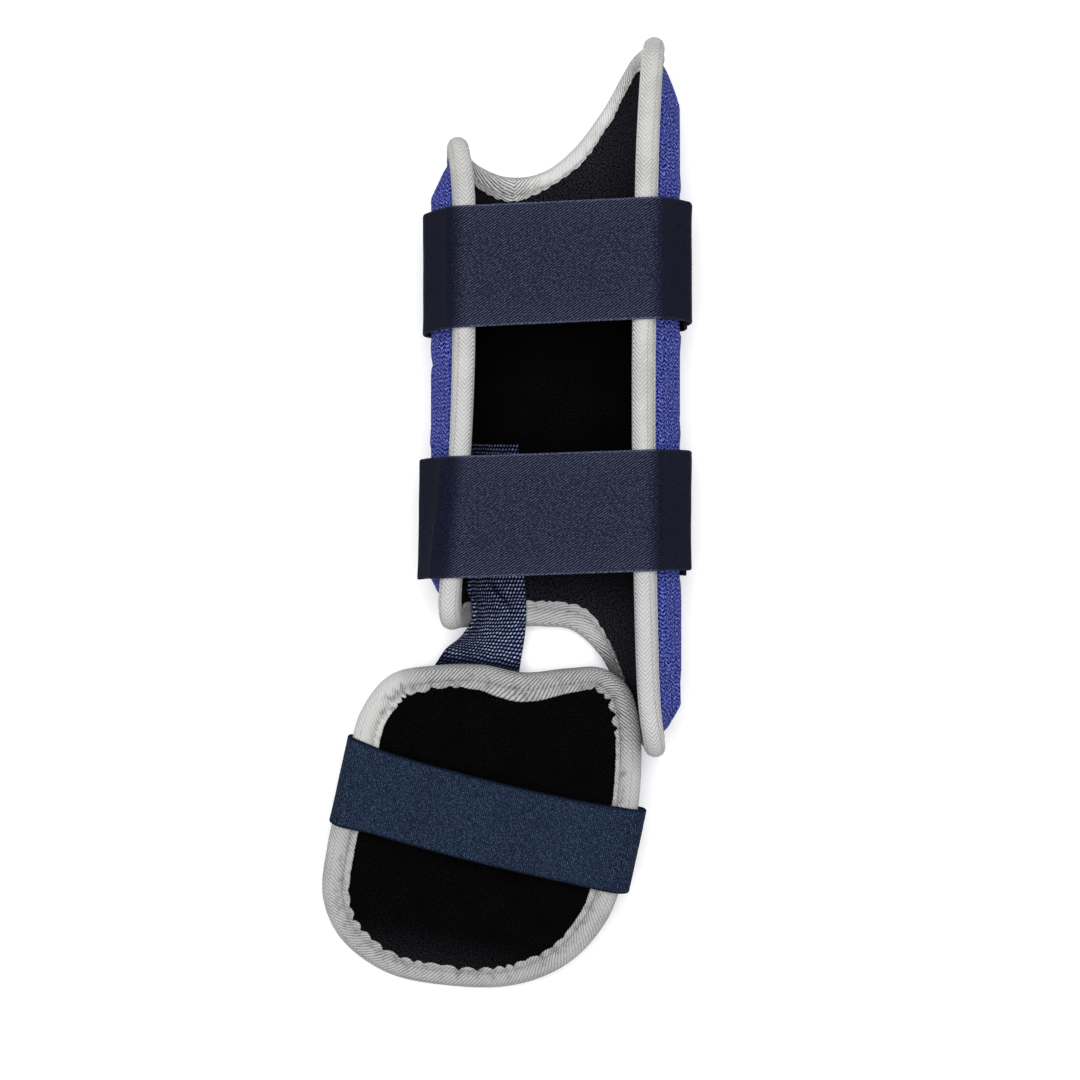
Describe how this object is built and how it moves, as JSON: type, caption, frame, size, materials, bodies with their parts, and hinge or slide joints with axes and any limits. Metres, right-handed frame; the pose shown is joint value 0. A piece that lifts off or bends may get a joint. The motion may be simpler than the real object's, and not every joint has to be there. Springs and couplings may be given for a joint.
{
  "type": "batter's foot guard",
  "caption": "Padded guard for a batter's shin and instep: a U-shaped shin shell, open at the back, with elastic bands, and an instep pad hung below it on a webbing.",
  "frame": {"origin": "middle of the guard's box, on the surface that it lies on", "axes": "+Y along the shin towards the knee, +Z out of the open back, +X towards the taller side"},
  "size_m": [0.1549, 0.4002, 0.0831],
  "materials": {
    "cover_blue": "woven mesh, matt",
    "lining_black": "brushed",
    "tape_pale": "herringbone twill",
    "webbing_navy": "plain-weave webbing, slight sheen",
    "band_navy": "ribbed elastic twill",
    "patch_navy": "looped pile",
    "foot_band_navy": "ribbed elastic twill"
  },
  "bodies": {
    "root": {"shin_cover": "cover_blue", "shin_lining": "lining_black", "shin_binding": "tape_pale", "link_webbing": "webbing_navy", "upper_band": "band_navy", "upper_band_patch": "patch_navy", "lower_band": "band_navy", "lower_band_patch": "patch_navy", "foot_cover": "cover_blue", "foot_lining": "lining_black", "foot_binding": "tape_pale", "foot_band": "foot_band_navy"}
  },
  "joints": []
}
